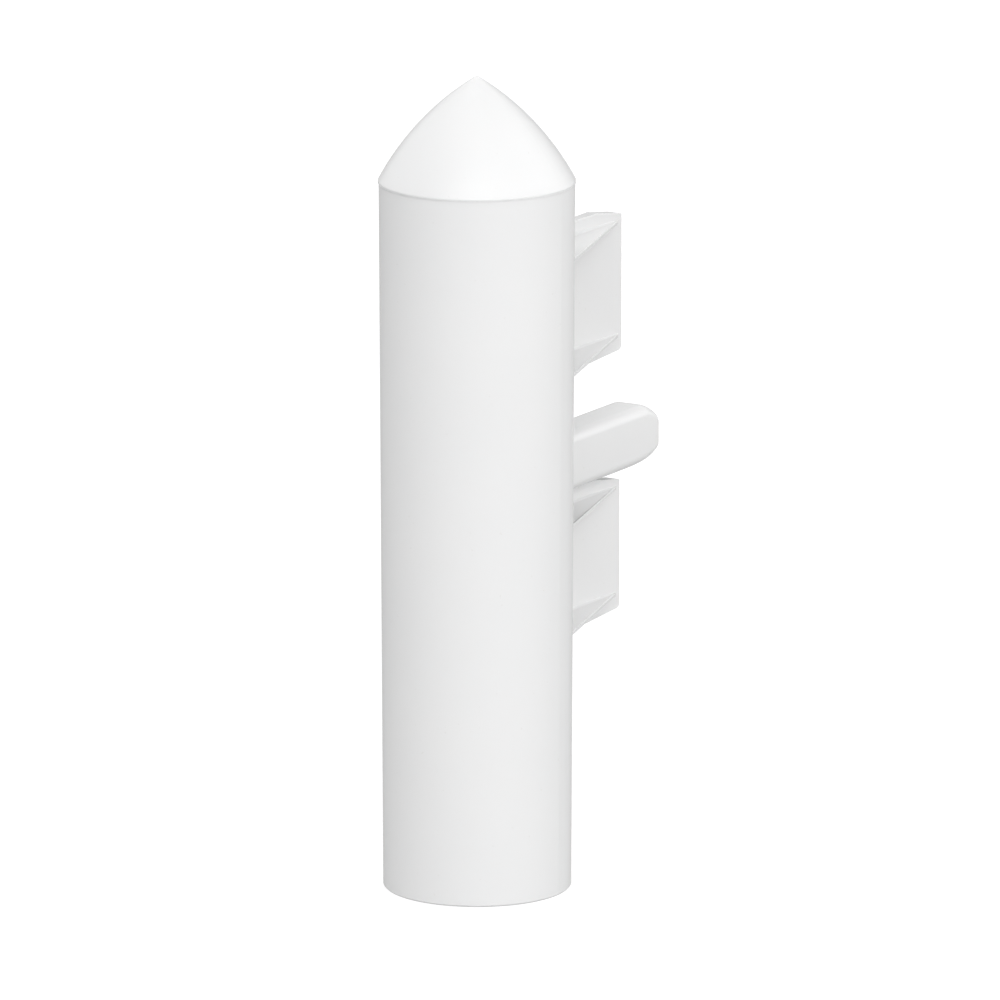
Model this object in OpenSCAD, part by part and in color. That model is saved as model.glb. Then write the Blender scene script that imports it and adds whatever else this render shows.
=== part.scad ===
/* [Sleeve] */
// Length of the sleeve, from its open lower end to the dome seam
sleeve_length = 184.3; // [150:0.1:260]
// Outside diameter of the sleeve at the dome seam
sleeve_top_d = 50; // [49:0.1:56]
// Outside diameter of the sleeve at its open lower end
sleeve_foot_d = 48.4; // [47.5:0.1:49]
// Diameter of the straight bore that slides over the post
bore_d = 44.2; // [42:0.1:44.6]

/* [Dome cap] */
// Height of the dome above the seam
dome_height = 27.3; // [24:0.1:32]
// How far the dome's base stands proud of the sleeve all round
dome_lip = 0.2; // [0:0.05:0.4]
// Depth of the spigot that plugs the sleeve
spigot_depth = 9; // [6:0.5:14]

/* [Arms] */
// Distance from the sleeve's axis to the lower arm's tip
lower_arm_reach = 70.2; // [64:0.1:78]
// Distance from the sleeve's axis to the upper arm's tip
upper_arm_reach = 71; // [64:0.1:78]
// Height of the lower arm's bottom corner above the open end
lower_arm_z = 59; // [50:0.1:62]
// Height of the lower arm at its tip
lower_arm_height = 34.5; // [30:0.1:36]
// Height of the upper arm's bottom corner above the open end
upper_arm_z = 127.8; // [127:0.1:132]
// Height of the upper arm at its tip
upper_arm_height = 36.2; // [30:0.1:38]
// Half width of the lower arm's flanges where they meet the sleeve
lower_flange_half_w = 15.4; // [14.6:0.1:18]
// Half width of the upper arm's flanges where they meet the sleeve
upper_flange_half_w = 16.6; // [14.6:0.1:18]
// Thickness of an arm's web
web_t = 2.6; // [2:0.1:3]
// Thickness of an arm's flanges
flange_t = 1; // [0.8:0.1:1.4]
// How far an arm's top edge rises between its tip and the sleeve
web_rise = 1.9; // [0:0.1:2]

/* [Keeper finger] */
// Width of the finger
finger_w = 11.7; // [9:0.1:12]
// Height of the finger
finger_h = 15.5; // [14:0.1:15.8]
// Distance from the sleeve's axis to the finger's nose
finger_reach = 86.3; // [80:0.1:92]
// Clear height between the lower arm's tip and the closed finger
wire_gap = 2.8; // [2.6:0.1:3.4]

/* [Hinge] */
// Diameter of the hinge pin
pin_d = 3; // [2.5:0.1:3.2]
// Distance from the sleeve's axis to the hinge pin
pivot_y = 29.5; // [29.4:0.1:30]
// Thickness of each hinge cheek
cheek_t = 2; // [1.6:0.1:2.2]

/* [Hidden] */
$fn = 96;

plastic = [0.95, 0.95, 0.94];
steel = [0.72, 0.73, 0.75];
// Overshoot of a cutting solid past the face it cuts
over = 1;
// Sinks one solid into the next where they join
joint_overlap = 0.5;
// Half length of a cut along the hinge pin, and reach of a wedge that cuts a foot to its width
pin_cut = 20;
wedge_r = 40;
// Gap between pieces that are fastened together, and between pieces that move
seat_gap = 0.05;
move_gap = 0.3;

sleeve_top_r = sleeve_top_d / 2;
sleeve_foot_r = sleeve_foot_d / 2;
bore_r = bore_d / 2;
foot_edge = 0.4;

// Radius of the sleeve's outside at a height
function sleeve_r(z) = sleeve_foot_r + (sleeve_top_r - sleeve_foot_r) * z / sleeve_length;
// Points of an arc in a plane, from angle a to angle b
function arc(cx, cy, r, a, b, steps) =
    [for (i = [0 : steps]) [cx + r * cos(a + (b - a) * i / steps), cy + r * sin(a + (b - a) * i / steps)]];

// Dome: an ogive arc between a rounded base corner and a rounded tip
dome_r = sleeve_top_r + dome_lip;
base_round = 0.7;
base_straight = 0.3;
tip_round = 1.2;
ogive_base_a = 28;
ogive_tip_a = 57;
// The hollow has the same outline, this far below it
hollow_drop = 3;
base_c = [dome_r - base_round, base_straight];
ogive_start = base_c + base_round * [cos(ogive_base_a), sin(ogive_base_a)];
tip_c = [0, dome_height - tip_round];
ogive_end = tip_c + tip_round * [cos(ogive_tip_a), sin(ogive_tip_a)];
ogive_chord = ogive_end - ogive_start;
ogive_chord_a = atan2(ogive_chord[1], ogive_chord[0]) - 90;
ogive_half_a = (ogive_tip_a - ogive_base_a) / 2;
ogive_r = norm(ogive_chord) / (2 * sin(ogive_half_a));
ogive_c = ogive_start - ogive_r * [cos(ogive_chord_a - ogive_half_a), sin(ogive_chord_a - ogive_half_a)];

// Wider socket in the sleeve's top, and the spigot that plugs it, with a snap bead near its end
socket_r = bore_r + 0.5;
socket_z = sleeve_length - spigot_depth - 0.1;
spigot_r = socket_r - seat_gap;
spigot_wall = 1.8;
spigot_z = sleeve_length - spigot_depth;
cavity_r = spigot_r - spigot_wall;
bead_r = 0.9;
bead_proud = 0.35;
bead_c = [spigot_r - bead_r + bead_proud, spigot_z + 2.5];
// Crossed ribs under the dome
stop_rib_t = 1.8;
stop_rib_set_in = 1;
stop_rib_top_r = 13;
stop_rib_top = 12;

// Arms: a web that thickens at its tip, two triangular flanges set in from its edges, and a curved foot
web_half = web_t / 2;
tip_half = 2;
tip_taper_y = 44;
tip_top_r = 1.9;
tip_under_r = 3;
tip_edge_r = 1.4;
// A flange runs out inside the web, this far from the tip
flange_end_half_w = 1.6;
flange_end_in = 1.2;
// Inner end of every outline that starts inside the sleeve, which is then cut away
inside_y = 12;
// The top edge steps down near the sleeve, clear of the stop, and is level until it slopes to the tip
relief_y = 38;
relief_run = 3;
slope_in = 13;
// The bottom edge falls towards the sleeve
drop_y = 46;
web_drop = 1.5;
flange_root_y = 20;
flange_set_in = 1.75;
flange_set_in_bottom = 3.35;
flange_fillet_r = 1.2;
// Curved foot, a little shorter than its arm
foot_t = 2.3;
foot_half_a = 33;
foot_inset_low = 0.2;
foot_inset_top = 0.4;

// Rivets: round head outside, shank, and a flared tail that stays inside the wall
rivet_a = 25;
rivet_r = 1.6;
rivet_head_r = 2.8;
rivet_head_t = 1.3;
rivet_tail_r = 2.4;
rivet_tail_t = 0.9;
rivet_tail_depth = bore_r + 0.15;
rivet_inset = 8;
spot_face_r = rivet_head_r + 0.3;
spot_face_depth = 0.35;
lower_rivet_z = [lower_arm_z + rivet_inset, lower_arm_z + lower_arm_height - rivet_inset];
upper_rivet_z = [upper_arm_z + rivet_inset, upper_arm_z + upper_arm_height - rivet_inset];

// Finger and its hinge
finger_z0 = lower_arm_z + lower_arm_height + wire_gap;
finger_mid_z = finger_z0 + finger_h / 2;
barrel_r = 4.3;
pin_r = pin_d / 2;
nose_corner_r = 3;
nose_under_r = 9.5;
nose_top_r = 11;
// Height of the nose's foremost point above the finger's underside
nose_rise = 7;
edge_r = 2.5;
shoulder_y = 34.5;
slot_half = 2.1;
slot_end_y = 45;

cheek_inner = finger_w / 2 + move_gap;
cheek_outer = cheek_inner + cheek_t;
cheek_end_r = 4.6;
base_gap_low = 0.4;
base_gap_top = 3.3;
base_z0 = lower_arm_z + lower_arm_height + base_gap_low;
base_z1 = upper_arm_z - base_gap_top;
base_rivet_drop = 3;
base_rivet_inset = 5;
base_rivet_z = [finger_mid_z - base_rivet_drop, base_z1 - base_rivet_inset];
stop_reach = 36.6;
// Clear height below and above the barrel in the base's window
window_below = 1.2;
window_above = 1.8;
window_reach = 20;

// Radial gap of the pin in the cheeks and the clip, which hold it, and in the finger, which turns on it
pin_hold_gap = 0.02;
pin_run_gap = 0.05;
// Pin ends and clip
pin_head_r = 2.6;
pin_head_t = 1.2;
clip_r = 3.1;
clip_t = 0.6;
pin_stub = 1;
pin_end = cheek_outer + clip_t + pin_stub;

// Torsion spring
wire_r = 0.4;
coil_r = 2.7;
coil_turns = 4;
coil_slack = 0.4;
coil_half = (coil_turns * 2 * wire_r + coil_slack) / 2;
finger_leg_end_y = 42;
base_leg_y = 27.45;
base_leg_start = 1.6;
base_leg_end = 9.5;
leg_rest_gap = 0.02;
slot_floor_z = finger_mid_z - coil_r - wire_r - leg_rest_gap;

// Solid of everything out to the sleeve's outside plus a margin
module sleeve_envelope(margin, z0, z1) {
    translate([0, 0, z0])
        cylinder(h = z1 - z0, r1 = sleeve_r(z0) + margin, r2 = sleeve_r(z1) + margin);
}

// Places a child's +Z along the outward radius at an angle from the back, at a height
module radially(angle, z) {
    rotate([0, 0, -angle])
        translate([0, 0, z])
            rotate([-90, 0, 0])
                children();
}

module at_rivets(heights) {
    for (z = heights)
        for (side = [-1, 1])
            radially(side * rivet_a, z)
                children();
}

module rivet_holes(heights) {
    at_rivets(heights) {
        cylinder(h = 2 * sleeve_top_r, r = rivet_r + seat_gap, $fn = 48);
        translate([0, 0, rivet_tail_depth - over])
            cylinder(h = over, r = rivet_tail_r + seat_gap, $fn = 48);
        translate([0, 0, rivet_tail_depth])
            cylinder(h = rivet_tail_t, r1 = rivet_tail_r + seat_gap, r2 = rivet_r + seat_gap, $fn = 48);
    }
}

module rivets(heights) {
    for (z = heights)
        for (side = [-1, 1])
            radially(side * rivet_a, z) {
                seat = sleeve_r(z) + foot_t - spot_face_depth;
                translate([0, 0, rivet_tail_depth])
                    cylinder(h = rivet_tail_t, r1 = rivet_tail_r, r2 = rivet_r, $fn = 48);
                translate([0, 0, rivet_tail_depth])
                    cylinder(h = seat - rivet_tail_depth + joint_overlap, r = rivet_r, $fn = 48);
                translate([0, 0, seat])
                    rivet_head();
            }
}

// Low round head: a slice of a ball on a short rim
module rivet_head() {
    rim = 0.35;
    crown = rivet_head_t - rim;
    ball_r = (rivet_head_r * rivet_head_r + crown * crown) / (2 * crown);
    cylinder(h = rim, r = rivet_head_r, $fn = 48);
    intersection() {
        translate([0, 0, rim + crown - ball_r])
            sphere(r = ball_r);
        translate([0, 0, rim])
            cylinder(h = crown + over, r = rivet_head_r, $fn = 48);
    }
}

module spot_faces(heights) {
    for (z = heights)
        for (side = [-1, 1])
            radially(side * rivet_a, z)
                translate([0, 0, sleeve_r(z) + foot_t - spot_face_depth])
                    cylinder(h = rivet_head_t + over, r = spot_face_r, $fn = 48);
}

module sleeve() color(plastic) {
    difference() {
        rotate_extrude()
            polygon([[bore_r, 0], [sleeve_foot_r - foot_edge, 0], [sleeve_foot_r, foot_edge],
                     [sleeve_top_r, sleeve_length], [socket_r, sleeve_length], [socket_r, socket_z],
                     [bore_r, socket_z]]);
        rotate_extrude()
            translate(bead_c)
                circle(r = bead_r + 2 * seat_gap, $fn = 32);
        rivet_holes(lower_rivet_z);
        rivet_holes(upper_rivet_z);
        rivet_holes(base_rivet_z);
    }
}

module dome_outline() {
    polygon(concat(
        [[0, 0], [dome_r, 0]],
        arc(base_c[0], base_c[1], base_round, 0, ogive_base_a, 6),
        arc(ogive_c[0], ogive_c[1], ogive_r, ogive_chord_a - ogive_half_a, ogive_chord_a + ogive_half_a, 28),
        arc(tip_c[0], tip_c[1], tip_round, ogive_tip_a, 90, 5)));
}

module dome_hollow() {
    intersection() {
        translate([0, -hollow_drop])
            dome_outline();
        square([cavity_r, dome_height]);
    }
}

module dome_cap() color(plastic) {
    translate([0, 0, sleeve_length])
        difference() {
            rotate_extrude()
                dome_outline();
            rotate_extrude()
                dome_hollow();
        }
    difference() {
        union() {
            translate([0, 0, spigot_z])
                cylinder(h = spigot_depth + joint_overlap, r = spigot_r);
            rotate_extrude()
                translate(bead_c)
                    circle(r = bead_r, $fn = 32);
        }
        translate([0, 0, spigot_z - over])
            cylinder(h = spigot_depth + 2 * over + joint_overlap, r = cavity_r);
    }
    // Crossed ribs that the post's top stops against
    rib_r = cavity_r + joint_overlap;
    intersection() {
        translate([0, 0, sleeve_length])
            rotate_extrude()
                polygon([[0, stop_rib_set_in - spigot_depth], [rib_r, stop_rib_set_in - spigot_depth],
                         [rib_r, 0], [stop_rib_top_r, stop_rib_top], [0, stop_rib_top]]);
        for (turn = [45, 135])
            rotate([0, 0, turn])
                translate([-sleeve_top_r, -stop_rib_t / 2, 0])
                    cube([2 * sleeve_top_r, stop_rib_t, sleeve_length + dome_height]);
    }
}

// Plan outline of a flange
module flange_outline(reach, root_half_w) {
    end_y = reach - flange_end_in;
    polygon([[flange_end_half_w, end_y], [root_half_w, flange_root_y],
             [root_half_w, inside_y], [-root_half_w, inside_y],
             [-root_half_w, flange_root_y], [-flange_end_half_w, end_y]]);
}

// Concave fillet that runs out along +Y, in the corner between a web's side and a flange's face
module fillet_strip(reach) {
    rotate([-90, 0, 0])
        linear_extrude(reach)
            difference() {
                translate([-over / 2, -flange_fillet_r])
                    square([flange_fillet_r + over / 2, flange_fillet_r + over / 2]);
                translate([flange_fillet_r, -flange_fillet_r])
                    circle(r = flange_fillet_r, $fn = 32);
            }
}

// Flange with fillets above and below where it meets the web
module flange(reach, root_half_w, z) {
    translate([0, 0, z])
        linear_extrude(flange_t)
            flange_outline(reach, root_half_w);
    intersection() {
        translate([0, 0, z - flange_fillet_r])
            linear_extrude(flange_t + 2 * flange_fillet_r)
                flange_outline(reach, root_half_w);
        for (side = [0, 1])
            mirror([side, 0, 0]) {
                translate([web_half, 0, z + flange_t])
                    fillet_strip(reach);
                translate([web_half, 0, z])
                    mirror([0, 0, 1])
                        fillet_strip(reach);
            }
    }
}

// Web's outline in the plane of the arm: y out from the sleeve, z up
module web_side(reach, height) {
    polygon(concat(
        [[inside_y, height], [relief_y, height], [relief_y + relief_run, height + web_rise],
         [reach - slope_in, height + web_rise]],
        arc(reach - tip_top_r, height - tip_top_r, tip_top_r, 80, 0, 6),
        arc(reach - tip_under_r, tip_under_r, tip_under_r, 0, -86, 8),
        [[drop_y, -web_drop], [inside_y, -web_drop]]));
}

// Web's outline seen from above: it thickens towards its tip, where its edges are round
module web_plan(reach) {
    for (side = [0, 1])
        mirror([side, 0])
            polygon(concat(
                [[0, inside_y], [web_half, inside_y], [web_half, tip_taper_y]],
                arc(tip_half - tip_edge_r, reach - tip_edge_r, tip_edge_r, 0, 90, 8),
                [[0, reach]]));
}

module upright(half) {
    rotate([90, 0, 90])
        translate([0, 0, -half])
            linear_extrude(2 * half)
                children();
}

module arm(reach, root_half_w, z0, height, rivet_heights) {
    difference() {
        union() {
            intersection() {
                translate([0, 0, z0])
                    upright(tip_half)
                        web_side(reach, height);
                translate([0, 0, z0 - web_drop - over])
                    linear_extrude(height + web_drop + web_rise + 2 * over)
                        web_plan(reach);
            }
            flange(reach, root_half_w, z0 + flange_set_in_bottom);
            flange(reach, root_half_w, z0 + height - flange_set_in - flange_t);
            arm_foot(z0 + foot_inset_low, z0 + height - foot_inset_top);
        }
        sleeve_envelope(seat_gap, z0 - wedge_r, z0 + height + wedge_r);
        spot_faces(rivet_heights);
        rivet_holes(rivet_heights);
    }
}

// Curved foot that hugs the sleeve's back
module arm_foot(z0, z1) {
    intersection() {
        sleeve_envelope(foot_t, z0, z1);
        translate([0, 0, z0])
            linear_extrude(z1 - z0)
                polygon([[0, 0], [wedge_r * sin(foot_half_a), wedge_r * cos(foot_half_a)],
                         [-wedge_r * sin(foot_half_a), wedge_r * cos(foot_half_a)]]);
    }
}

module upper_arm() color(plastic)
    arm(upper_arm_reach, upper_flange_half_w, upper_arm_z, upper_arm_height, upper_rivet_z);

module lower_arm() color(plastic)
    arm(lower_arm_reach, lower_flange_half_w, lower_arm_z, lower_arm_height, lower_rivet_z);

module along_pin(x0, x1, r) {
    translate([x0, pivot_y, finger_mid_z])
        rotate([0, 90, 0])
            cylinder(h = x1 - x0, r = r, $fn = 64);
}

module finger_base() color(plastic) {
    difference() {
        union() {
            arm_foot(base_z0, base_z1);
            // Cheeks
            for (side = [-1, 1]) {
                x0 = side > 0 ? cheek_inner : -cheek_outer;
                translate([x0, inside_y, finger_mid_z - cheek_end_r])
                    cube([cheek_t, pivot_y - inside_y, 2 * cheek_end_r]);
                along_pin(x0, x0 + cheek_t, cheek_end_r);
            }
            // Stop below the finger's root
            translate([-cheek_inner - joint_overlap, inside_y, base_z0])
                cube([2 * (cheek_inner + joint_overlap), stop_reach - inside_y,
                      finger_z0 - move_gap - base_z0]);
        }
        sleeve_envelope(seat_gap, base_z0 - wedge_r, base_z1 + wedge_r);
        // Window for the finger's barrel
        translate([-cheek_inner, inside_y, finger_mid_z - barrel_r - window_below])
            cube([2 * cheek_inner, window_reach, 2 * barrel_r + window_below + window_above]);
        along_pin(-pin_cut, pin_cut, pin_r + pin_hold_gap);
        spot_faces(base_rivet_z);
        rivet_holes(base_rivet_z);
    }
}

// Side outline of the finger: round barrel, shoulders, and a nose that curves in from above and below
module finger_side() {
    z0 = finger_mid_z - finger_h / 2;
    z1 = finger_mid_z + finger_h / 2;
    under_a = asin((nose_rise - nose_under_r) / nose_under_r);
    top_a = asin((nose_rise - finger_h + nose_top_r) / nose_top_r);
    translate([pivot_y, finger_mid_z])
        circle(r = barrel_r, $fn = 64);
    polygon(concat(
        [[pivot_y, finger_mid_z - barrel_r], [shoulder_y, z0]],
        arc(finger_reach - nose_under_r * cos(under_a), z0 + nose_under_r, nose_under_r, -90, under_a, 16),
        arc(finger_reach - nose_top_r * cos(top_a), z1 - nose_top_r, nose_top_r, top_a, 90, 16),
        [[shoulder_y, z1], [pivot_y, finger_mid_z + barrel_r]]));
}

// Plan outline of the finger, with round corners at the nose
module finger_plan() {
    half = finger_w / 2;
    polygon(concat(
        [[-half, inside_y], [half, inside_y]],
        arc(half - nose_corner_r, finger_reach - nose_corner_r, nose_corner_r, 0, 90, 12),
        arc(-half + nose_corner_r, finger_reach - nose_corner_r, nose_corner_r, 90, 180, 12)));
}

// Cross-section of the finger with round edges
module finger_section() {
    half = finger_w / 2 - edge_r;
    rise = finger_h / 2 - edge_r;
    square([2 * half, finger_h], center = true);
    square([finger_w, 2 * rise], center = true);
    for (x = [-half, half])
        for (z = [-rise, rise])
            translate([x, z])
                circle(r = edge_r, $fn = 32);
}

module keeper_finger() color(plastic) {
    difference() {
        intersection() {
            upright(finger_w / 2)
                finger_side();
            translate([0, 0, finger_z0 - over])
                linear_extrude(finger_h + 2 * over)
                    finger_plan();
            translate([0, 0, finger_mid_z])
                rotate([-90, 0, 0])
                    linear_extrude(finger_reach + over)
                        finger_section();
        }
        along_pin(-pin_cut, pin_cut, pin_r + pin_run_gap);
        // Slot for the spring, open at the top and towards the sleeve
        translate([-slot_half, inside_y, slot_floor_z])
            cube([2 * slot_half, slot_end_y - inside_y, finger_h]);
        along_pin(-slot_half, slot_half, coil_r + wire_r + move_gap);
    }
}

module hinge_pin() color(steel) {
    along_pin(-cheek_outer, pin_end, pin_r);
    along_pin(-cheek_outer - pin_head_t, -cheek_outer, pin_head_r);
}

module pin_clip() color(steel) {
    difference() {
        along_pin(cheek_outer + seat_gap, cheek_outer + seat_gap + clip_t, clip_r);
        along_pin(-pin_cut, pin_cut, pin_r + pin_hold_gap);
    }
}

// Coil as a closed collar, with one leg on the finger and one against the base
module keeper_spring() color(steel) {
    difference() {
        along_pin(-coil_half, coil_half, coil_r + wire_r);
        along_pin(-pin_cut, pin_cut, coil_r - wire_r);
    }
    leg_x = coil_half - wire_r;
    translate([leg_x, pivot_y, finger_mid_z - coil_r])
        rotate([-90, 0, 0])
            cylinder(h = finger_leg_end_y - pivot_y, r = wire_r, $fn = 24);
    translate([-leg_x, base_leg_y, finger_mid_z + base_leg_start])
        cylinder(h = base_leg_end - base_leg_start, r = wire_r, $fn = 24);
}

module upper_arm_rivets() color(plastic) rivets(upper_rivet_z);

module lower_arm_rivets() color(plastic) rivets(lower_rivet_z);

module base_rivets() color(plastic) rivets(base_rivet_z);

sleeve();
dome_cap();
upper_arm();
lower_arm();
finger_base();
keeper_finger();
hinge_pin();
pin_clip();
keeper_spring();
upper_arm_rivets();
lower_arm_rivets();
base_rivets();
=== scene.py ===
import math

import bmesh
import bpy
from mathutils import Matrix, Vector


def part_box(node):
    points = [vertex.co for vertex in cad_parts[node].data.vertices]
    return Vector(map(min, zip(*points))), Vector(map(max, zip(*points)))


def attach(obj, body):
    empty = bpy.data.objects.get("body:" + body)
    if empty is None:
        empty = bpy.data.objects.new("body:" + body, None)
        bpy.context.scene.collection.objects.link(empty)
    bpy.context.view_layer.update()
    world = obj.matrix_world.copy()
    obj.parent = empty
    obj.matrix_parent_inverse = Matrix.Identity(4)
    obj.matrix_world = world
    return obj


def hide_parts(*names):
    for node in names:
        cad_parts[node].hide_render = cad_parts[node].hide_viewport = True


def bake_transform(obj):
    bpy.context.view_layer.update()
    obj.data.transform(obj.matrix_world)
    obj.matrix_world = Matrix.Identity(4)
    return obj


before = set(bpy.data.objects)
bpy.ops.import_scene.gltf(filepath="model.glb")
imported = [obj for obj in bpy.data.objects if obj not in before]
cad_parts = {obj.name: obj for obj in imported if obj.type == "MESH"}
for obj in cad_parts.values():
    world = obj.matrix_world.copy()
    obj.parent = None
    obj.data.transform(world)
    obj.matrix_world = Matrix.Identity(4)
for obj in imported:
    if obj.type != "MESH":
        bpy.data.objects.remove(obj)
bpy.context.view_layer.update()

# ---------------------------------------------------------------- camera

# The view: degrees round from the front towards +X, and above the horizon
VIEW_AZIMUTH = 30.6
VIEW_ELEVATION = 13.0
VIEW_DISTANCE = 3.193
# A very long lens, so the sleeve's sides stay almost parallel
SENSOR = 36.0
LENS = 450.0
# The point on the sleeve's axis that the camera is set from, and where it falls in the frame,
# as a share of the frame's width from the middle (right and down are positive)
AIM_HEIGHT = 0.11
AIM_RIGHT = -0.02294
AIM_DOWN = -0.0333


def make_camera():
    a = math.radians(VIEW_AZIMUTH)
    e = math.radians(VIEW_ELEVATION)
    back = Vector((math.sin(a) * math.cos(e), -math.cos(a) * math.cos(e), math.sin(e)))
    right = Vector((math.cos(a), math.sin(a), 0))
    up = back.cross(right)
    per_frame = SENSOR / LENS
    offset = right * AIM_RIGHT * per_frame * VIEW_DISTANCE - up * AIM_DOWN * per_frame * VIEW_DISTANCE
    data = bpy.data.cameras.new("view_camera")
    data.sensor_width = SENSOR
    data.lens = LENS
    data.clip_end = 50
    camera = bpy.data.objects.new("view_camera", data)
    bpy.context.collection.objects.link(camera)
    camera.location = Vector((0, 0, AIM_HEIGHT)) + back * VIEW_DISTANCE - offset
    camera.rotation_mode = "QUATERNION"
    camera.rotation_quaternion = (-back).to_track_quat("-Z", "Y")
    bpy.context.scene.camera = camera


# ---------------------------------------------------------------- materials


class Nodes:
    """Short calls for building one material's nodes."""

    def __init__(self, name):
        self.material = bpy.data.materials.new(name)
        self.material.use_nodes = True
        self.tree = self.material.node_tree
        self.shader = self.tree.nodes["Principled BSDF"]

    def add(self, kind, **values):
        node = self.tree.nodes.new(kind)
        for key, value in values.items():
            setattr(node, key, value)
        return node

    def link(self, out, into):
        self.tree.links.new(out, into)

    def place(self):
        return self.add("ShaderNodeTexCoord").outputs["Object"]

    def noise(self, scale, detail=3.0, roughness=0.5, squash=(1, 1, 1)):
        mapping = self.add("ShaderNodeMapping")
        mapping.inputs["Scale"].default_value = squash
        self.link(self.place(), mapping.inputs["Vector"])
        noise = self.add("ShaderNodeTexNoise")
        noise.inputs["Scale"].default_value = scale
        noise.inputs["Detail"].default_value = detail
        noise.inputs["Roughness"].default_value = roughness
        self.link(mapping.outputs["Vector"], noise.inputs["Vector"])
        return noise.outputs["Fac"]

    def spread(self, value, low, high, from_low=0.3, from_high=0.7):
        node = self.add("ShaderNodeMapRange")
        node.inputs["From Min"].default_value = from_low
        node.inputs["From Max"].default_value = from_high
        node.inputs["To Min"].default_value = low
        node.inputs["To Max"].default_value = high
        self.link(value, node.inputs["Value"])
        return node.outputs["Result"]

    def blend(self, factor, first, second):
        node = self.add("ShaderNodeMix", data_type="RGBA")
        self.link(factor, node.inputs["Factor"])
        for socket, value in ((node.inputs[6], first), (node.inputs[7], second)):
            if isinstance(value, tuple):
                socket.default_value = (*value, 1)
            else:
                self.link(value, socket)
        return node.outputs[2]

    def edges(self, radius):
        """1 on a sharp edge, falling to 0 within about radius of it."""
        rounded = self.add("ShaderNodeBevel", samples=6)
        rounded.inputs["Radius"].default_value = radius
        flat = self.add("ShaderNodeNewGeometry")
        dot = self.add("ShaderNodeVectorMath", operation="DOT_PRODUCT")
        self.link(rounded.outputs["Normal"], dot.inputs[0])
        self.link(flat.outputs["Normal"], dot.inputs[1])
        return self.spread(dot.outputs["Value"], 1, 0, 0.8, 0.995)

    def math(self, operation, first, second):
        node = self.add("ShaderNodeMath", operation=operation)
        for socket, value in zip(node.inputs, (first, second)):
            if isinstance(value, (int, float)):
                socket.default_value = value
            else:
                self.link(value, socket)
        return node.outputs["Value"]

    def bump(self, height, distance, strength=1.0, under=None):
        node = self.add("ShaderNodeBump")
        node.inputs["Strength"].default_value = strength
        node.inputs["Distance"].default_value = distance
        self.link(height, node.inputs["Height"])
        if under is not None:
            self.link(under, node.inputs["Normal"])
        return node.outputs["Normal"]

    def finish(self, color, roughness, normal):
        self.link(color, self.shader.inputs["Base Color"])
        self.link(roughness, self.shader.inputs["Roughness"])
        self.link(normal, self.shader.inputs["Normal"])
        return self.material


def moulded_white(name, tone=0.76, gloss=0.24, draw=0.0):
    """Satin white plastic: clouding, mould grain, scuffed edges that come and go, and draw marks along Z."""
    m = Nodes(name)
    white = (tone, tone, tone)
    dull = (tone * 0.982, tone * 0.984, tone * 0.986)
    rubbed = (min(tone * 1.05, 1), min(tone * 1.05, 1), min(tone * 1.045, 1))
    specks = (tone * 0.9, tone * 0.89, tone * 0.87)
    clouds = m.spread(m.noise(28, detail=2), 0, 1)
    color = m.blend(clouds, white, dull)
    # Scuffs along edges, broken up so that they come and go
    edge = m.edges(0.0006)
    broken = m.spread(m.noise(420, detail=5, roughness=0.65), 0.15, 0.9, 0.38, 0.62)
    worn = m.math("MULTIPLY", edge, broken)
    color = m.blend(worn, color, rubbed)
    # A few tiny specks of trapped dust
    dust = m.spread(m.noise(900, detail=1), 0, 0.5, 0.76, 0.8)
    color = m.blend(dust, color, specks)
    satin = m.spread(m.noise(160, detail=5), gloss - 0.008, gloss + 0.012)
    roughness = m.math("ADD", satin, m.math("MULTIPLY", worn, 0.12))
    ripple = m.bump(m.noise(45, detail=1), 0.00008, 0.25)
    marks = m.bump(m.noise(1400, detail=2, squash=(1, 1, 0.012)), 0.00001, draw, under=ripple)
    normal = m.bump(m.noise(2600, detail=2, roughness=0.6), 0.000012, 0.5, under=marks)
    m.shader.inputs["IOR"].default_value = 1.49
    m.shader.inputs["Subsurface Weight"].default_value = 0.12
    m.shader.inputs["Subsurface Scale"].default_value = 0.004
    m.shader.inputs["Subsurface Radius"].default_value = (1.0, 0.95, 0.9)
    return m.finish(color, roughness, normal)


def bright_steel(name):
    """Drawn steel: fine lines along X, slight tarnish, and brighter rubbed edges."""
    m = Nodes(name)
    lines = m.noise(900, detail=3, squash=(0.05, 1, 1))
    tarnish = m.spread(m.noise(420, detail=4), 0, 1)
    color = m.blend(tarnish, (0.62, 0.63, 0.65), (0.46, 0.46, 0.47))
    color = m.blend(m.edges(0.00025), color, (0.78, 0.79, 0.8))
    roughness = m.spread(lines, 0.2, 0.42)
    m.shader.inputs["Metallic"].default_value = 1
    return m.finish(color, roughness, m.bump(lines, 0.00002, 0.4))


def dress(node, material):
    """Gives a CAD node's own mesh a material; its shape stays as it is."""
    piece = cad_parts[node]
    for slot in piece.material_slots:
        slot.material = material
    if not piece.material_slots:
        piece.data.materials.append(material)


# ---------------------------------------------------------------- mesh helpers

MM = 0.001


def shade(mesh, sharp_angle=35):
    """Smooth shading, apart from edges that turn by more than sharp_angle degrees."""
    limit = math.radians(sharp_angle)
    bm = bmesh.new()
    bm.from_mesh(mesh)
    for face in bm.faces:
        face.smooth = True
    for edge in bm.edges:
        edge.smooth = len(edge.link_faces) == 2 and edge.calc_face_angle(0) < limit
    bm.to_mesh(mesh)
    bm.free()


def new_piece(name, bm, material):
    """An object made from a bmesh, with its faces turned outwards."""
    bmesh.ops.recalc_face_normals(bm, faces=bm.faces)
    mesh = bpy.data.meshes.new(name)
    bm.to_mesh(mesh)
    bm.free()
    mesh.materials.append(material)
    piece = bpy.data.objects.new(name, mesh)
    bpy.context.collection.objects.link(piece)
    return piece


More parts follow.
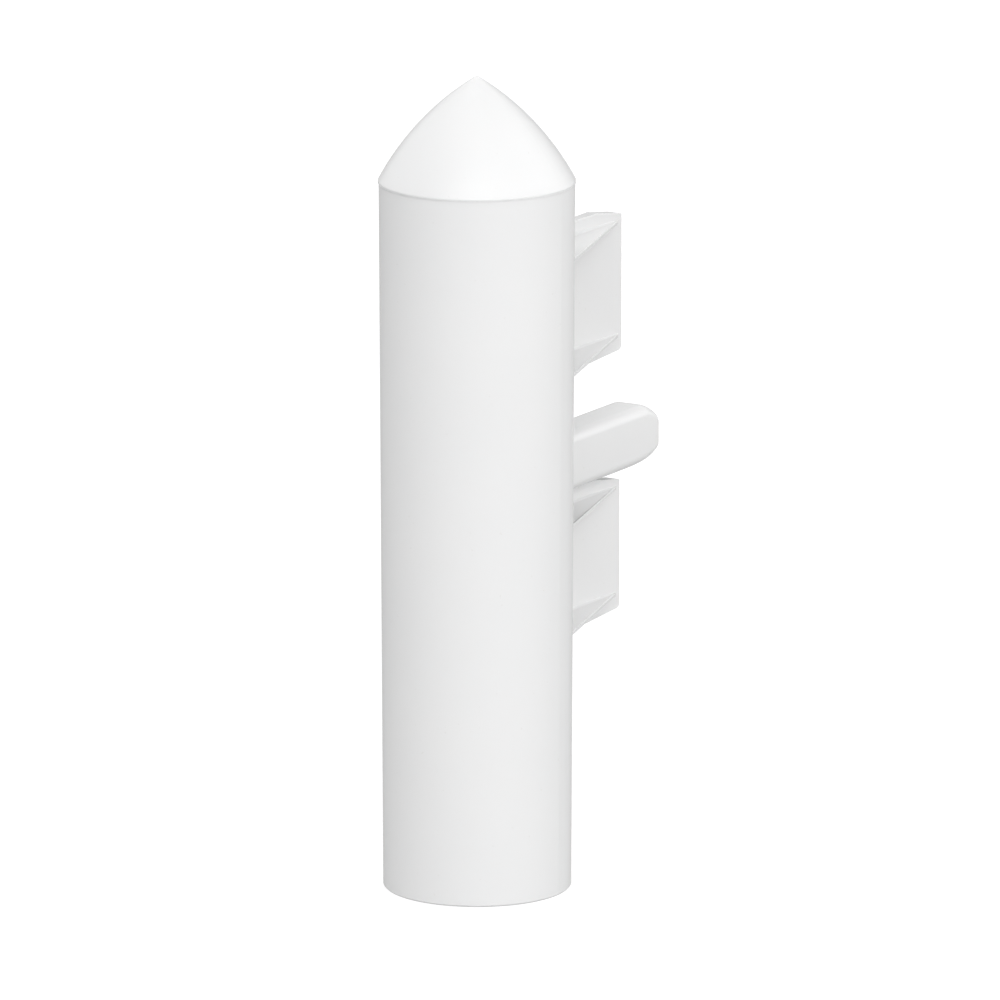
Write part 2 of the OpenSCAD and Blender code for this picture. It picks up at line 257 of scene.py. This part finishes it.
def skin(bm, rings, close_loop=False):
    """Joins rings of points, each with the same count, with quads, and closes the ends or the loop."""
    rows = [[bm.verts.new(p) for p in ring] for ring in rings]
    pairs = list(zip(rows, rows[1:]))
    if close_loop:
        pairs.append((rows[-1], rows[0]))
    for first, second in pairs:
        n = len(first)
        for i in range(n):
            j = (i + 1) % n
            bm.faces.new((first[i], first[j], second[j], second[i]))
    if not close_loop:
        bm.faces.new(rows[0])
        bm.faces.new(reversed(rows[-1]))


def turned(profile, axis_point, steps=48):
    """Rings for a shape turned about X: profile holds (x, radius) pairs."""
    rings = []
    for x, radius in profile:
        ring = []
        for i in range(steps):
            t = 2 * math.pi * i / steps
            y = axis_point.y + radius * math.cos(t)
            z = axis_point.z + radius * math.sin(t)
            ring.append(Vector((x, y, z)))
        rings.append(ring)
    return rings


def apply_modifiers(piece):
    """Keeps the shape that a piece's modifiers give it, and removes them."""
    bpy.context.view_layer.update()
    graph = bpy.context.evaluated_depsgraph_get()
    mesh = bpy.data.meshes.new_from_object(piece.evaluated_get(graph))
    mesh.name = piece.name
    piece.modifiers.clear()
    piece.data = mesh


def flatten_shading(piece):
    """Turns the shading at each corner towards its larger faces, so wide flat faces look flat."""
    modifier = piece.modifiers.new("flat", "WEIGHTED_NORMAL")
    modifier.mode = "FACE_AREA"
    modifier.keep_sharp = True
    apply_modifiers(piece)


def cut(piece, cutters):
    """Takes the cutters' shapes out of a piece, and removes them."""
    for cutter in cutters:
        modifier = piece.modifiers.new("cut", "BOOLEAN")
        modifier.operation = "DIFFERENCE"
        modifier.solver = "EXACT"
        modifier.object = cutter
    apply_modifiers(piece)
    for cutter in cutters:
        bpy.data.objects.remove(cutter, do_unlink=True)


def new_cutter(bm):
    mesh = bpy.data.meshes.new("cutter")
    bm.to_mesh(mesh)
    bm.free()
    cutter = bpy.data.objects.new("cutter", mesh)
    bpy.context.collection.objects.link(cutter)
    return cutter


def box_cutter(low, high):
    bm = bmesh.new()
    bmesh.ops.create_cube(bm, size=1)
    low, high = Vector(low), Vector(high)
    for vert in bm.verts:
        vert.co = Vector([c + v * (h - l) for c, v, h, l in zip((low + high) / 2, vert.co, high, low)])
    return new_cutter(bm)


def pin_cutter(x0, x1, radius, axis_point, steps=64):
    bm = bmesh.new()
    skin(bm, turned([(x0, radius), (x1, radius)], axis_point, steps))
    bmesh.ops.recalc_face_normals(bm, faces=bm.faces)
    return new_cutter(bm)


def middle(node):
    low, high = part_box(node)
    return (Vector(low) + Vector(high)) / 2


# ---------------------------------------------------------------- pieces


# Points closer than this are one, and faces that turn by less than this are one flat face
WELD = 0.005 * MM
FLAT = math.radians(0.3)
# Outside edges that are this long and this sharp are rounded over by this much
LONG_EDGE = 3 * MM
SHARP_EDGE = math.radians(50)
EDGE_ROUND = 0.22 * MM


def softened(node, name, material):
    """Stands in for a CAD node: the same shape, with its long outside edges rounded over."""
    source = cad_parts[node]
    bm = bmesh.new()
    bm.from_mesh(source.data)
    bm.transform(source.matrix_world)
    bmesh.ops.remove_doubles(bm, verts=bm.verts, dist=WELD)
    bmesh.ops.dissolve_limit(bm, angle_limit=FLAT, verts=bm.verts, edges=bm.edges)
    edges = [
        e for e in bm.edges
        if len(e.link_faces) == 2 and e.is_convex and e.calc_length() > LONG_EDGE
        and e.calc_face_angle() > SHARP_EDGE
    ]
    bmesh.ops.bevel(bm, geom=edges, offset=EDGE_ROUND, offset_type="OFFSET", segments=2, profile=0.5,
                    affect="EDGES", clamp_overlap=False)
    piece = new_piece(name, bm, material)
    shade(piece.data, 30)
    flatten_shading(piece)
    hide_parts(node)
    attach(piece, "sleeve_assembly")
    return piece


def make_finger(material):
    """The finger: round barrel, shoulders, and a body whose nose closes in on all sides."""
    low, high = (Vector(c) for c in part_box("keeper_finger"))
    pin = middle("pin_clip")
    spring_low, spring_high = (Vector(c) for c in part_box("keeper_spring"))
    half_w = (high.x - low.x) / 2
    half_h = (high.z - low.z) / 2
    mid_z = (high.z + low.z) / 2
    barrel = pin.y - low.y
    end_y = high.y
    shoulder_y = pin.y + 5 * MM
    # Radius along the bar's edges, and along the barrel's
    edge = 2.8 * MM
    barrel_edge = 0.3 * MM
    # Where each side starts to close in on the nose, and how suddenly
    side_start, side_power = end_y - 3.4 * MM, 1.2
    top_start, top_power = end_y - 8.9 * MM, 1.2
    under_start, under_power = end_y - 31.9 * MM, 6.7

    def closing(y, start, power):
        t = min(max((y - start) / (end_y - start), 0), 1)
        return math.sqrt(1 - t**power)

    def section(y):
        """Half width, underside, top and edge radius at y."""
        if y < pin.y:
            half = math.sqrt(max(barrel**2 - (pin.y - y) ** 2, (0.02 * MM) ** 2))
            return half_w, mid_z - half, mid_z + half, barrel_edge
        if y < shoulder_y:
            share = (y - pin.y) / (shoulder_y - pin.y)
            half = barrel + (half_h - barrel) * share
            return half_w, mid_z - half, mid_z + half, barrel_edge + share * (edge - barrel_edge)
        w = half_w * closing(y, side_start, side_power)
        top = mid_z + half_h * closing(y, top_start, top_power)
        under = mid_z - half_h * closing(y, under_start, under_power)
        return w, under, top, edge

    stations = [pin.y - barrel * math.cos(math.radians(a)) for a in range(1, 91, 8)]
    stations += [pin.y + (shoulder_y - pin.y) * i / 4 for i in range(1, 5)]
    stations += [shoulder_y + (under_start - shoulder_y) * i / 6 for i in range(1, 7)]
    # Stations bunch together towards the nose
    stations += [under_start + (end_y - under_start) * math.sin(math.pi / 2 * i / 44) for i in range(1, 44)]
    stations += [end_y - 0.004 * MM]
    rings = []
    for y in stations:
        w, under, top, radius = section(y)
        radius = min(radius, 0.97 * w, 0.485 * (top - under))
        ring = []
        for cx, cz, turn in ((w - radius, top - radius, 0), (radius - w, top - radius, 90),
                             (radius - w, under + radius, 180), (w - radius, under + radius, 270)):
            for i in range(9):
                t = math.radians(turn + 90 * i / 8)
                ring.append(Vector((cx + radius * math.cos(t), y, cz + radius * math.sin(t))))
        rings.append(ring)
    bm = bmesh.new()
    skin(bm, rings)
    finger = new_piece("keeper_finger_body", bm, material)
    # Room for the pin, for the spring's coil, and for the leg that lies in the bar's slot
    pin_hole_r = 1.55 * MM
    coil_room = 0.3 * MM
    slot_half = spring_high.x + coil_room
    coil_r = pin.z - spring_low.z
    floor_z = spring_low.z - 0.02 * MM
    cut(finger, [
        pin_cutter(low.x - MM, high.x + MM, pin_hole_r, pin),
        box_cutter((-slot_half, low.y - MM, floor_z), (slot_half, spring_high.y + 3 * MM, high.z + MM)),
        pin_cutter(-slot_half, slot_half, coil_r + coil_room, pin),
    ])
    shade(finger.data, 32)
    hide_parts("keeper_finger")
    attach(finger, "finger")
    return finger


def wire_rings(path, radius, steps=10):
    """Rings round a path of points, carried along without twist."""
    rings = []
    up = Vector((1, 0, 0))
    for i, point in enumerate(path):
        ahead = (path[min(i + 1, len(path) - 1)] - path[max(i - 1, 0)]).normalized()
        across = (up - ahead * up.dot(ahead)).normalized()
        up = across
        third = ahead.cross(across)
        ring = []
        for k in range(steps):
            t = 2 * math.pi * k / steps
            ring.append(point + across * radius * math.cos(t) + third * radius * math.sin(t))
        rings.append(ring)
    return rings


def make_spring(material):
    """Torsion spring of four turns; one leg lies in the finger's slot, the other against the base."""
    low, high = (Vector(c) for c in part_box("keeper_spring"))
    pin = middle("pin_clip")
    wire = 0.4 * MM
    turns = 4
    coil_r = pin.z - low.z - wire
    half_x = high.x - wire
    base_leg_y = pin.y - 2.05 * MM
    path = []
    # Leg under the finger, straight towards the sleeve
    for i in range(8):
        path.append(Vector((half_x, high.y - (high.y - pin.y) * i / 8, pin.z - coil_r)))
    # Turns, from the bottom round to the sleeve's side
    whole = 2 * math.pi * turns + math.radians(130)
    steps = 150
    for i in range(steps + 1):
        t = whole * i / steps
        x = half_x - 2 * half_x * i / steps
        path.append(Vector((x, pin.y - coil_r * math.sin(t), pin.z - coil_r * math.cos(t))))
    # Leg that stands up against the base
    start = path[-1]
    for i in range(1, 9):
        share = i / 8
        y = start.y + (base_leg_y - start.y) * min(share * 3, 1)
        path.append(Vector((-half_x, y, start.z + (high.z - start.z) * share)))
    bm = bmesh.new()
    skin(bm, wire_rings(path, wire * 0.995))
    spring = new_piece("keeper_spring_wire", bm, material)
    shade(spring.data, 60)
    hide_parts("keeper_spring")
    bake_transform(spring)
    return spring


def make_pin(material):
    """Headed pin with a round-edged head and a chamfered end."""
    low, high = (Vector(c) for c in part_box("hinge_pin"))
    pin = middle("pin_clip")
    radius = 1.5 * MM
    head_r = (high.z - low.z) / 2
    head_t = 1.2 * MM
    profile = [(low.x, 0.15 * head_r), (low.x + 0.04 * MM, 0.55 * head_r)]
    for i in range(7):
        t = math.radians(90 * i / 6)
        x = low.x + 0.5 * MM - 0.4 * MM * math.cos(t)
        profile.append((x, head_r - 0.5 * MM + 0.5 * MM * math.sin(t)))
    profile += [(low.x + head_t, head_r), (low.x + head_t, radius), (high.x - 0.45 * MM, radius),
                (high.x - 0.1 * MM, radius - 0.3 * MM), (high.x, radius - 0.45 * MM)]
    bm = bmesh.new()
    skin(bm, turned(profile, pin))
    piece = new_piece("hinge_pin_turned", bm, material)
    shade(piece.data, 30)
    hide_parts("hinge_pin")
    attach(piece, "sleeve_assembly")
    return piece


def make_clip(material):
    """Push-on washer: a dished ring with teeth that grip the pin."""
    low, high = (Vector(c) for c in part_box("pin_clip"))
    pin = middle("pin_clip")
    rim_r = (high.z - low.z) / 2
    sheet = 0.25 * MM
    teeth = 6
    steps = 96

    def ring(radius_at, x):
        points = []
        for i in range(steps):
            t = 2 * math.pi * i / steps
            r = radius_at(t)
            points.append(Vector((x, pin.y + r * math.cos(t), pin.z + r * math.sin(t))))
        return points

    def grip(t):
        in_notch = (t * teeth / (2 * math.pi)) % 1 > 0.78
        return 2.25 * MM if in_notch else 1.53 * MM

    flat_r = 2.45 * MM
    rings = [
        ring(lambda t: rim_r - 0.06 * MM, low.x), ring(lambda t: rim_r, low.x + 0.06 * MM),
        ring(lambda t: rim_r, low.x + sheet - 0.06 * MM), ring(lambda t: rim_r - 0.06 * MM, low.x + sheet),
        ring(lambda t: flat_r, low.x + sheet), ring(grip, high.x),
        ring(grip, high.x - sheet), ring(lambda t: flat_r, low.x),
    ]
    bm = bmesh.new()
    skin(bm, rings, close_loop=True)
    piece = new_piece("pin_clip_toothed", bm, material)
    shade(piece.data, 25)
    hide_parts("pin_clip")
    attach(piece, "sleeve_assembly")
    return piece


# ---------------------------------------------------------------- studio


# How brightly the floor glows where the camera sees it, and where the object does
FLOOR_GLOW_SEEN = 0.77
FLOOR_GLOW_UNSEEN = 0.45


def make_floor():
    bpy.ops.mesh.primitive_circle_add(vertices=96, radius=6, fill_type="NGON")
    floor = bpy.context.object
    floor.name = "studio_floor"
    m = Nodes("studio_floor")
    # The floor looks white, but throws little light back up at the object
    seen = m.add("ShaderNodeLightPath").outputs["Is Camera Ray"]
    tint = m.spread(m.noise(3), 0, 1)
    pale = m.blend(tint, (0.31, 0.31, 0.31), (0.3, 0.3, 0.3))
    m.link(m.blend(seen, (0.08, 0.08, 0.08), pale), m.shader.inputs["Base Color"])
    m.shader.inputs["Roughness"].default_value = 0.9
    m.shader.inputs["Specular IOR Level"].default_value = 0
    m.shader.inputs["Emission Color"].default_value = (1, 1, 1, 1)
    m.link(m.spread(seen, FLOOR_GLOW_UNSEEN, FLOOR_GLOW_SEEN, 0, 1), m.shader.inputs["Emission Strength"])
    floor.data.materials.append(m.material)


# Broad soft lights: degrees round from the front towards +X, degrees above the horizon, strength
SOFTBOXES = (
    (30, 8, 1.8),
    (30, 40, 0.9),
    (120, 8, 1.4),
    (165, 8, 0.5),
    (-105, 40, 1.4),
)
# A light fades to nothing where the cosine of the angle from its middle falls to this
LIGHT_ENDS = 0.45


def make_world():
    """White surroundings made of broad soft lights, each fading out about 63 degrees from its middle."""
    world = bpy.data.worlds.new("studio")
    world.use_nodes = True
    tree = world.node_tree
    background = tree.nodes["Background"]
    background.inputs["Color"].default_value = (1, 1, 1, 1)
    place = tree.nodes.new("ShaderNodeTexCoord")
    total = None
    for azimuth, elevation, strength in SOFTBOXES:
        a = math.radians(azimuth)
        e = math.radians(elevation)
        toward = tree.nodes.new("ShaderNodeVectorMath")
        toward.operation = "DOT_PRODUCT"
        toward.inputs[1].default_value = (math.sin(a) * math.cos(e), -math.cos(a) * math.cos(e), math.sin(e))
        tree.links.new(place.outputs["Generated"], toward.inputs[0])
        level = tree.nodes.new("ShaderNodeMapRange")
        level.interpolation_type = "SMOOTHSTEP"
        level.inputs["From Min"].default_value = LIGHT_ENDS
        level.inputs["From Max"].default_value = 1
        level.inputs["To Min"].default_value = 0
        level.inputs["To Max"].default_value = strength
        tree.links.new(toward.outputs["Value"], level.inputs["Value"])
        if total is None:
            total = level.outputs["Result"]
            continue
        add = tree.nodes.new("ShaderNodeMath")
        add.operation = "ADD"
        tree.links.new(total, add.inputs[0])
        tree.links.new(level.outputs["Result"], add.inputs[1])
        total = add.outputs["Value"]
    tree.links.new(total, background.inputs["Strength"])
    bpy.context.scene.world = world


def make_studio():
    make_floor()
    make_world()
    bpy.context.scene.view_settings.view_transform = "Standard"


# ---------------------------------------------------------------- build

make_camera()
make_studio()

dress("sleeve", moulded_white("sleeve_plastic", draw=0.35))
dress("dome_cap", moulded_white("dome_plastic"))
arm_white = moulded_white("arm_plastic")
for name in ("upper_arm", "lower_arm", "finger_base"):
    softened(name, name + "_moulding", arm_white)
rivet_white = moulded_white("rivet_plastic", tone=0.75)
for name in ("upper_arm_rivets", "lower_arm_rivets", "base_rivets"):
    dress(name, rivet_white)
finger_white = moulded_white("finger_plastic")
steel = bright_steel("steel")
make_finger(finger_white)
make_spring(steel)
make_pin(steel)
make_clip(steel)
